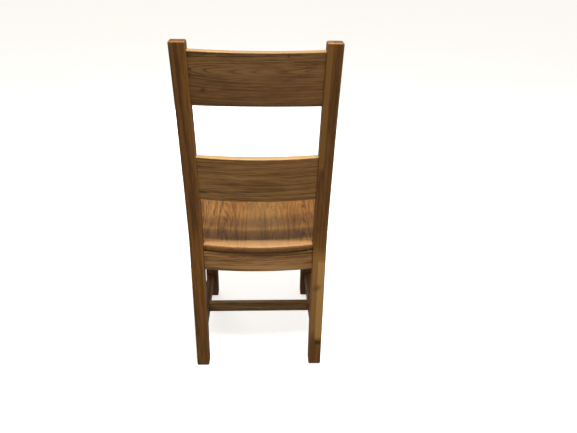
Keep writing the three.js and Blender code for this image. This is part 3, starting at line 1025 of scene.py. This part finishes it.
def slabShape(outline, bottom, top, ease, underEase, steps):
    shape = bmesh.new()
    wear = shape.faces.layers.float.new("wear")
    face = shape.faces.new([shape.verts.new((x, y, bottom)) for x, y in outline])
    grown = bmesh.ops.extrude_face_region(shape, geom=[face])["geom"]
    for corner in grown:
        if isinstance(corner, bmesh.types.BMVert):
            corner.co.z = top
    bmesh.ops.recalc_face_normals(shape, faces=shape.faces[:])
    for level, amount in ((top, ease), (bottom, underEase)):
        rim = []
        for edge in shape.edges:
            if all(abs(corner.co.z - level) < sameLevel for corner in edge.verts):
                rim.append(edge)
        made = bmesh.ops.bevel(shape, geom=rim, offset=amount, segments=steps, profile=0.5, affect="EDGES")
        for rounded in made["faces"]:
            rounded[wear] = 1.0 if level == top else 0.0
    return shape


pineLook = {"ringSpacing": 0.0042, "wobble": 0.008, "tones": pineTones, "poreDepth": 0.1, "coat": 0.0}
seedStep = 0.71
for count, ((end, name), (outline, bottom, top, screws)) in enumerate(corners.items()):
    block = pieceFrom(
        f"cornerBlock{end.title()}{name.title()}",
        slabShape(outline, bottom, top, cornerBlocks["ease"], cornerBlocks["ease"], steps=2),
    )
    cutMortises(block, [], screwRods(screws.values()))
    pine = woodMaterial(
        f"pine{end.title()}{name.title()}",
        heart=(0.0, 0.0, 0.36),
        turn=(0.0, 2.0, 45.0 * sideOf[name] * (1 if end == "front" else -1)),
        seed=2.0 + count * seedStep,
        roughness=(0.6, 0.75),
        **pineLook,
    )
    finishPiece(block, pine, "block_pine", f"corner_block_{end}_{name}")
print("corner blocks made")

cutMortises(apron, [], screwRods(screwsOf("end", "rear"), False))
keepStraight(apron, unbendApron)
finishPiece(apron, apronOak, "frame_oak", "rear_apron")

frontBar = crossBarPiece("frontApron", frontLow, frontHigh, legLow.x, "apronEase", frontTenons)
cutMortises(frontBar, [], screwRods(screwsOf("end", "front"), False))
frontOak = woodMaterial(
    "frontApronOak",
    heart=(0.0, frontLow.y - 0.05, 0.40),
    turn=(0.0, 0.8, 1.5),
    ringSpacing=0.0038,
    seed=9.2,
)
finishPiece(frontBar, frontOak, "frame_oak", "front_apron")

for name, side in sideOf.items():
    for kind, ease in (("apron", "apronEase"), ("stretcher", "stretcherEase")):
        low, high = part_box(f"side_{kind}_{name}")
        bar = pieceFrom(f"side{kind.title()}{name.title()}", easedBar(
            Vector((low.x, legHigh.y + fit, low.z)),
            Vector((high.x, straightFront - fit, high.z)),
            1,
            straightBars[ease],
        ))
        joinTenons(bar, sideTenons[kind, name])
        if kind == "apron":
            cutMortises(bar, [], screwRods(screwsOf("side", name=name), False))
        else:
            cutMortises(bar, crossStretcherTenons)
        oak = woodMaterial(
            f"side{kind.title()}Oak{name.title()}",
            heart=(side * 0.15, 0.0, high.z + 0.03),
            turn=(0.0, 0.7 * side, 91.0),
            ringSpacing=0.0040,
            seed=11.0 + side + (0.4 if kind == "apron" else 0.0),
        )
        finishPiece(bar, oak, "frame_oak", f"side_{kind}_{name}")

crossBar = crossBarPiece(
    "crossStretcher", crossLow, crossHigh, stretcherInner, "stretcherEase", crossStretcherTenons
)
crossOak = woodMaterial(
    "crossStretcherOak",
    heart=(0.0, crossLow.y - 0.03, 0.06),
    turn=(0.0, -0.8, 1.2),
    ringSpacing=0.0034,
    seed=14.6,
    # gain far above one: painted light, lifting a stretcher that sits in the seat's shade
    gain=(2.02, 2.38, 2.80),
)
finishPiece(crossBar, crossOak, "frame_oak", "cross_stretcher")
print("aprons and stretchers made")


# Back posts and front legs

glideSizes = {
    "radius": 0.010,
    "height": 0.003,
    "flatRadius": 0.008,
    "edge": 0.0012,
    "nailRadius": 0.0015,
    "nailLength": 0.014,
    "nailTip": 0.004,
}
legShape = {"ease": 0.0026, "endEase": 0.004}
postSpans = 46


def postRings(side):
    foot, top = postLow.z, postHigh.z
    stations, eased = barStations(foot, top, postShape["endEase"], postShape["endEase"], postSpans)
    centreX = side * (postLow.x + postHigh.x) / 2
    halfWidth = (postHigh.x - postLow.x) / 2
    rings = []
    for z, inset in stations:
        depth = postDepth(z)
        centreY = postBack(z) - depth / 2
        outline = roundedRectangle(halfWidth - inset, depth / 2 - inset, postShape["ease"])
        rings.append([(centreX + x, centreY + y, z) for x, y in outline])
    return rings, eased


def nailRod(x, y):
    return {
        "start": (x, y, 0.0),
        "way": (0, 0, 1),
        "radius": glideSizes["nailRadius"] + fit,
        "begin": 0.0,
        "end": glideSizes["height"] + glideSizes["nailLength"] + glueSpace,
    }


paleStrip = (0.222, 0.104, 0.024)
paleFoot = (0.375, 0.205, 0.062)
postLooks = {
    "left": {
        "heart": (0.150, straightBack - 0.055, 0.3),
        "turn": (0.0, -89.4, 40.0),
        "ringSpacing": 0.0032,
        "wobble": 0.010,
        "seed": 17.3,
        "rings": 0.5,
        "endGrain": 0.15,
        # pale strip down the post's inner edge: a painted highlight where the inner face catches the light
        "marks": (colourMark((0.1615, straightBack, 0.75), (0.0035, 0.2, 0.32), paleStrip, 0.6),),
    },
    "right": {
        "heart": (-0.235, straightBack - 0.020, 0.4),
        "turn": (0.0, -90.5, 10.0),
        "ringSpacing": 0.0030,
        "wobble": 0.010,
        "seed": 21.9,
        "rings": 0.5,
        "endGrain": 0.0,
        "marks": (
            colourMark(
                (-0.1665, straightBack, 0.880),
                (0.0095, 0.2, 0.186),
                paleStrip,
                0.75,
                soft=0.12,
                ragged=0.12,
                square=True,
            ),
            colourMark(
                (-0.1790, straightBack, 0.275),
                (0.0300, 0.2, 0.175),
                (0.260, 0.130, 0.034),
                0.75,
                soft=0.25,
                ragged=0.2,
                square=True,
            ),
            colourMark(
                (-0.1885, straightBack, 0.250),
                (0.0110, 0.2, 0.152),
                paleFoot,
                0.85,
                soft=0.10,
                ragged=0.05,
                square=True,
            ),
            colourMark(
                (-0.1760, straightBack, 0.300),
                (0.0200, 0.2, 0.015),
                (0.080, 0.036, 0.010),
                0.55,
                turn=(0.0, 50.0, 0.0),
                soft=0.7,
            ),
            colourMark(
                (-0.1885, straightBack, 0.0900),
                (0.0115, 0.2, 0.0090),
                (0.035, 0.017, 0.006),
                0.85,
                soft=0.5,
                ragged=0.2,
                square=True,
            ),
        ),
    },
}
glidePlaces = []
for name, side in sideOf.items():
    postX = side * (postLow.x + postHigh.x) / 2
    postY = (straightFront + straightBack) / 2
    legX = side * (legLow.x + legHigh.x) / 2
    legY = (legLow.y + legHigh.y) / 2
    glidePlaces += [(postX, postY), (legX, legY)]
    rows = sideTenons["apron", name] + sideTenons["stretcher", name]

    rings, eased = postRings(side)
    backPost = pieceFrom(f"backPost{name.title()}", loft(rings, eased))
    railTenons = crestTenons + lumbarTenons + rearApronTenons
    cutMortises(backPost, railTenons + rows, [nailRod(postX, postY)])
    keepStraight(backPost, lambda x, y, z: Vector((x, y - postBack(z) + straightBack, z)))
    oak = woodMaterial(f"postOak{name.title()}", straight=True, tones=postTones, **postLooks[name])
    finishPiece(backPost, oak, "frame_oak", f"back_post_{name}")

    low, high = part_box(f"front_leg_{name}")
    frontLeg = pieceFrom(f"frontLeg{name.title()}", easedBar(
        low, high, 2, legShape["ease"], startEase=legShape["endEase"], spans=12
    ))
    cutMortises(frontLeg, frontTenons + rows, [nailRod(legX, legY)])
    oak = woodMaterial(
        f"legOak{name.title()}",
        heart=(side * 0.15, legLow.y - 0.02, 0.2),
        turn=(0.0, -89.2, 60.0 * side),
        ringSpacing=0.0036,
        seed=25.0 + side,
        tones=postTones,
    )
    finishPiece(frontLeg, oak, "frame_oak", f"front_leg_{name}")
print("posts and legs made")


# Seat: one glued panel, hollowed in the middle

seatShape = {
    "rearSideOverhang": 0.004,
    "frontBow": 0.008,
    "frontCorner": 0.022,
    "rearBow": 0.018,
    "dishDepth": 0.006,
    "dishMargin": 0.042,
    "ease": 0.0035,
    "underEase": 0.0085,
    "grid": 0.009,  # between the cuts that let the top be hollowed
    "outlineSteps": 20,
    "cornerSteps": 6,
}


def seatOutline():
    steps = seatShape["outlineSteps"]
    notchX, notchY = postLow.x - fit, straightFront - fit
    rearX = postHigh.x + seatShape["rearSideOverhang"]
    frontX, frontY = seatHigh.x, seatLow.y
    radius, bow, rearBow = seatShape["frontCorner"], seatShape["frontBow"], seatShape["rearBow"]
    turns = seatShape["cornerSteps"]
    points = []
    for i in range(steps, -steps - 1, -1):
        points.append((notchX * i / steps, seatHigh.y - rearBow * (i / steps) ** 2))
    points += [(-notchX, notchY), (-rearX, notchY)]
    flatHalf = frontX - radius
    for side in (-1, 1):
        for i in range(turns + 1):
            angle = math.pi * (1 if side < 0 else 1.5) + math.pi / 2 * i / turns
            x = side * flatHalf + radius * math.cos(angle)
            points.append((x, frontY + bow + radius + radius * math.sin(angle)))
        if side < 0:
            for i in range(-steps + 1, steps):
                points.append((flatHalf * i / steps, frontY + bow * (i / steps) ** 2))
    points += [(rearX, notchY), (notchX, notchY)]
    return points


def cutGrid(shape, low, high, spacing):
    for axis in (0, 1):
        normal = Vector((1, 0, 0)) if axis == 0 else Vector((0, 1, 0))
        count = max(1, round((high[axis] - low[axis]) / spacing))
        for i in range(1, count):
            at = Vector((0, 0, 0))
            at[axis] = low[axis] + (high[axis] - low[axis]) * i / count
            parts = shape.verts[:] + shape.edges[:] + shape.faces[:]
            bmesh.ops.bisect_plane(shape, geom=parts, plane_co=at, plane_no=normal, dist=1e-6)


def dishAt(x, y):
    front = seatLow.y + seatShape["frontBow"] + seatShape["dishMargin"]
    back = straightFront - seatShape["dishMargin"] / 2
    halfX = postHigh.x - seatShape["dishMargin"]
    halfY = (back - front) / 2
    share = min(1.0, math.hypot(x / halfX, (y - (front + back) / 2) / halfY))
    return seatShape["dishDepth"] / 2 * (1 + math.cos(math.pi * share))


seatBoard = slabShape(
    seatOutline(), seatLow.z, seatHigh.z, seatShape["ease"], seatShape["underEase"], steps=4
)
cutGrid(seatBoard, seatLow, seatHigh, seatShape["grid"])
for corner in seatBoard.verts:
    if corner.co.z > seatHigh.z - 1e-6:
        corner.co.z -= dishAt(corner.co.x, corner.co.y)
seat = pieceFrom("seatBoard", seatBoard)
cutMortises(seat, [], screwRods(screwsOf("seat"), False))
seatOak = woodMaterial(
    "seatOak",
    heart=(-0.131, 0.0, 0.415),
    turn=(0.0, -3.2, 90.0),
    ringSpacing=0.0036,
    wobble=0.024,
    seed=31.4,
    joints=(-0.080, -0.017, 0.037, 0.112),
    jointShift=(0.43, 0.083, 0.013),
    stripTint=0.16,
    rings=0.85,
    bands=0.65,
    fibres=0.75,
    endGrain=0.42,
    gain=(0.70, 0.675, 0.53),
    tones=seatTones,
    roughness=(0.30, 0.46),
    coat=0.2,
    marks=(
        colourMark(
            (-0.148, -0.111, 0.445), (0.010, 0.014, 0.02), (0.10, 0.036, 0.011), 0.85, soft=0.6, swell=0.009
        ),
        colourMark(
            (-0.0215, -0.05, 0.445),
            (0.0585, 0.9, 0.2),
            (0.40, 0.215, 0.072),
            0.35,
            soft=0.02,
            ragged=0.0,
            square=True,
        ),
        # pale band along the rear lip of the seat: a painted highlight, lighter than the rest of the top
        colourMark(
            (0.0, straightBack - 0.006, 0.449), (0.4, 0.034, 0.012), (0.80, 0.46, 0.24), 0.55, ragged=0.1
        ),
    ),
)
finishPiece(seat, seatOak, "seat_oak", "seat_board")
print("seat made")


# Screws and glides: turned shapes, each made of rings between the points of its profile

def turned(tree, profile, sides):
    join = tree.nodes.new("GeometryNodeJoinGeometry")
    for (lowRadius, lowZ), (highRadius, highZ) in zip(profile, profile[1:]):
        depth = sums(tree, "SUBTRACT", highZ, lowZ)
        cone = add(tree, "GeometryNodeMeshCone", {
            "Vertices": sides,
            "Radius Top": highRadius,
            "Radius Bottom": lowRadius,
            "Depth": depth,
        }, fill_type="NONE")
        lift = add(tree, "ShaderNodeCombineXYZ", {2: lowZ}).outputs[0]
        placed = add(tree, "GeometryNodeTransform", {"Geometry": cone.outputs["Mesh"], "Translation": lift})
        tree.links.new(placed.outputs[0], join.inputs[0])
    merged = add(tree, "GeometryNodeMergeByDistance", {"Geometry": join.outputs[0], "Distance": 2e-5})
    return merged.outputs[0]


def onPoints(tree, points, shape, material):
    way = add(tree, "GeometryNodeInputNamedAttribute", {"Name": "way"}, data_type="FLOAT_VECTOR")
    turn = add(tree, "FunctionNodeAlignRotationToVector", {"Vector": way.outputs[0]}, axis="Z")
    copies = add(tree, "GeometryNodeInstanceOnPoints", {
        "Points": points,
        "Instance": shape,
        "Rotation": turn.outputs[0],
    })
    endTree(tree, copies.outputs[0], material)


def makeScrewTree(look):
    tree, given = newTree("woodScrews", {
        "Head Radius": look["headRadius"],
        "Head Height": look["headHeight"],
        "Shaft Radius": look["radius"],
        "Length": look["apronLength"],
        "Tip Length": look["tipLength"],
        "Fit": fit,
        "Thread Pitch": look["threadPitch"],
    })
    head, shaft = given["Head Radius"], given["Shaft Radius"]
    gap = given["Fit"]
    under = sums(tree, "MULTIPLY", gap, -1.0)
    top = sums(tree, "SUBTRACT", gap, given["Head Height"])
    shoulder = sums(tree, "MULTIPLY_ADD", given["Head Height"], -0.5, gap)
    upper = sums(tree, "MULTIPLY_ADD", given["Head Height"], -0.75, gap)
    core = sums(tree, "MULTIPLY", shaft, 0.78)
    tip = sums(tree, "SUBTRACT", given["Length"], given["Tip Length"])
    profile = [
        (0.0, top),
        (sums(tree, "MULTIPLY", head, 0.7), top),
        (sums(tree, "MULTIPLY", head, 0.93), upper),
        (head, shoulder),
        (head, under),
        (core, under),
        (core, tip),
        (0.0, given["Length"]),
    ]
    body = turned(tree, profile, 20)
    crossArm = sums(tree, "MULTIPLY", head, 0.9)
    crossWide = sums(tree, "MULTIPLY", head, 0.2)
    cutter = []
    for x, y in ((crossArm, crossWide), (crossWide, crossArm)):
        size = add(tree, "ShaderNodeCombineXYZ", {0: x, 1: y, 2: look["crossHeight"]}).outputs[0]
        cube = add(tree, "GeometryNodeMeshCube", {"Size": size}).outputs[0]
        lift = add(tree, "ShaderNodeCombineXYZ", {2: top}).outputs[0]
        cutter.append(add(tree, "GeometryNodeTransform", {"Geometry": cube, "Translation": lift}))
    recess = add(tree, "GeometryNodeMeshBoolean", {0: body}, operation="DIFFERENCE")
    for arm in cutter:
        tree.links.new(arm.outputs[0], recess.inputs[1])
    turns = sums(tree, "DIVIDE", tip, given["Thread Pitch"])
    spiral = add(tree, "GeometryNodeCurveSpiral", {
        "Resolution": 12,
        "Rotations": turns,
        "Start Radius": core,
        "End Radius": core,
        "Height": tip,
    })
    ridge = add(tree, "GeometryNodeCurvePrimitiveCircle", {
        "Resolution": 3,
        "Radius": sums(tree, "MULTIPLY", shaft, 0.2),
    })
    thread = add(tree, "GeometryNodeCurveToMesh", {
        "Curve": spiral.outputs[0],
        "Profile Curve": ridge.outputs[0],
        "Fill Caps": True,
    })
    join = tree.nodes.new("GeometryNodeJoinGeometry")
    tree.links.new(recess.outputs[0], join.inputs[0])
    tree.links.new(thread.outputs[0], join.inputs[0])
    onPoints(tree, given["Geometry"], join.outputs[0], given["Material"])
    return tree


def makeGlideTree(look):
    tree, given = newTree("footGlides", {
        "Radius": look["radius"],
        "Flat Radius": look["flatRadius"],
        "Edge Height": look["edge"],
        "Height": look["height"],
        "Nail Radius": look["nailRadius"],
        "Nail Length": look["nailLength"],
        "Nail Tip": look["nailTip"],
    })
    radius, edge = given["Radius"], given["Edge Height"]
    nailTop = sums(tree, "ADD", given["Height"], given["Nail Length"])
    mostRadius = sums(tree, "MULTIPLY", radius, 0.7)
    middleRadius = sums(tree, "MULTIPLY_ADD", given["Flat Radius"], 0.3, mostRadius)
    profile = [
        (0.0, 0.0),
        (given["Flat Radius"], 0.0),
        (middleRadius, sums(tree, "MULTIPLY", edge, 0.4)),
        (radius, edge),
        (radius, given["Height"]),
        (given["Nail Radius"], given["Height"]),
        (given["Nail Radius"], sums(tree, "SUBTRACT", nailTop, given["Nail Tip"])),
        (0.0, nailTop),
    ]
    onPoints(tree, given["Geometry"], turned(tree, profile, 32), given["Material"])
    return tree


def pointPiece(name, items):
    mesh = bpy.data.meshes.new(name)
    mesh.from_pydata([item["start"] for item in items], [], [])
    ways = mesh.attributes.new("way", "FLOAT_VECTOR", "POINT")
    for i, item in enumerate(items):
        ways.data[i].vector = item["way"]
    return newPiece(name, mesh)


def plainMaterial(name, colour, other, roughness, metallic, scale, bump):
    material, tree = newMaterial(name)
    place = add(tree, "ShaderNodeTexCoord").outputs["Object"]
    cloud = noise(tree, place, (scale,) * 3, 4.0, 0.6).outputs[0]
    fine = noise(tree, place, (scale * 30,) * 3, 2.0).outputs[0]
    painted = mixed(tree, ranged(tree, cloud, 0.35, 0.65), rgba(colour), rgba(other))
    rough = ranged(tree, fine, 0.3, 0.7, *roughness)
    relief = add(tree, "ShaderNodeBump", {"Height": fine, "Strength": 0.4, "Distance": bump})
    shader = add(tree, "ShaderNodeBsdfPrincipled", {
        "Base Color": painted,
        "Roughness": rough,
        "Metallic": metallic,
        "Normal": relief.outputs[0],
    })
    add(tree, "ShaderNodeOutputMaterial", {0: shader.outputs[0]})
    return material


zinc = plainMaterial(
    "zincSteel",
    colour=(0.55, 0.53, 0.47),
    other=(0.40, 0.37, 0.30),
    roughness=(0.28, 0.45),
    metallic=0.9,
    scale=300.0,
    bump=0.00005,
)
nylon = plainMaterial(
    "glideNylon",
    colour=(0.055, 0.048, 0.042),
    other=(0.085, 0.075, 0.066),
    roughness=(0.45, 0.65),
    metallic=0.0,
    scale=90.0,
    bump=0.0002,
)
screwTree = makeScrewTree(screwSizes)
glideTree = makeGlideTree(glideSizes)

screwKinds = {
    "apronScrews": ("apronLength", ("end", "side")),
    "seatScrews": ("seatLength", ("seat",)),
}
for name, (lengthOf, kinds) in screwKinds.items():
    items = [item for kind in kinds for item in screwsOf(kind)]
    screws = pointPiece(name, items)
    runTree(screws, screwTree, {"Length": screwSizes[lengthOf], "Material": zinc})
    nodes = [f"{kind}_screw_{end}_{side}" for kind in kinds for end, side in corners]
    finishPiece(screws, zinc, "screw_steel", *nodes)

glides = pointPiece("footGlides", [{"start": (x, y, 0.0), "way": (0, 0, 1)} for x, y in glidePlaces])
runTree(glides, glideTree, {"Material": nylon})
glideNodes = [f"glide_{end}_{name}" for end in ("front", "rear") for name in sideOf]
finishPiece(glides, nylon, "glide_nylon", *glideNodes)
print("screws and glides made")


# Floor with a coved wall, sky and lamps

def makeStage(look):
    reach, cove, height = look["floorReach"], look["coveRadius"], look["wallHeight"]
    profile = [(reach * share, 0.0) for share in (0.25, 0.5, 1.0)]
    for step in range(1, look["coveSteps"] + 1):
        angle = step / look["coveSteps"] * math.pi / 2
        profile.append((reach + cove * math.sin(angle), cove * (1 - math.cos(angle))))
    profile.append((reach + cove, height))
    shape = bmesh.new()
    sides = look["sides"]
    turns = [2 * math.pi * i / sides for i in range(sides)]
    rows = []
    for radius, z in profile:
        rows.append([shape.verts.new((radius * math.cos(a), radius * math.sin(a), z)) for a in turns])
    for inner, outer in zip(rows, rows[1:]):
        for i in range(sides):
            j = (i + 1) % sides
            shape.faces.new((inner[i], outer[i], outer[j], inner[j]))
    shape.faces.new(rows[0])
    stage = pieceFrom("paleStage", shape)
    stage.data.shade_smooth()
    material, tree = newMaterial("paleStage")
    place = add(tree, "ShaderNodeTexCoord").outputs["Object"]
    cloud = noise(tree, place, (1.5, 1.5, 1.5), 3.0).outputs[0]
    darker = [tone * (1 - look["mottle"]) for tone in look["colour"]]
    shader = add(tree, "ShaderNodeBsdfPrincipled", {
        "Base Color": mixed(tree, cloud, rgba(look["colour"]), rgba(darker)),
        "Roughness": 0.9,
        "Emission Color": rgba(look["colour"]),
        "Emission Strength": look["glow"],
    })
    add(tree, "ShaderNodeOutputMaterial", {0: shader.outputs[0]})
    stage.data.materials.append(material)
    stage.visible_diffuse = False
    stage.visible_glossy = False
    stage.visible_shadow = False


def makeLamp(name, look):
    data = bpy.data.lights.new(name, "AREA")
    data.shape = "DISK"
    data.size = look["size"]
    data.energy = look["power"]
    lamp = bpy.data.objects.new(name, data)
    lamp.location = look["place"]
    lamp.rotation_mode = "QUATERNION"
    lamp.rotation_quaternion = (Vector(look["place"]) - lampAim).to_track_quat("Z", "Y")
    lamp.visible_camera = False
    lamp.visible_glossy = look["shine"]
    bpy.context.scene.collection.objects.link(lamp)


def makeSky(look):
    world = bpy.data.worlds.new("softSky")
    bpy.context.scene.world = world
    world.use_nodes = True
    tree = world.node_tree
    tree.nodes.clear()
    way = add(tree, "ShaderNodeTexCoord").outputs["Generated"]
    height = add(tree, "ShaderNodeSeparateXYZ", {0: way}).outputs[2]
    share = ranged(tree, height, -0.1, 0.1)
    level = mixed(tree, share, rgba([look["below"]] * 3), rgba([look["above"]] * 3))
    warm = mixed(tree, 1.0, level, rgba(look["tone"]), "MULTIPLY")
    sky = add(tree, "ShaderNodeBackground", {"Color": warm})
    add(tree, "ShaderNodeOutputWorld", {0: sky.outputs[0]})


makeStage(stageLook)
for name, look in lampLooks.items():
    makeLamp(name, look)
makeSky(skyLook)
bpy.context.scene.view_settings.view_transform = "Standard"
print("stage and lamps made")
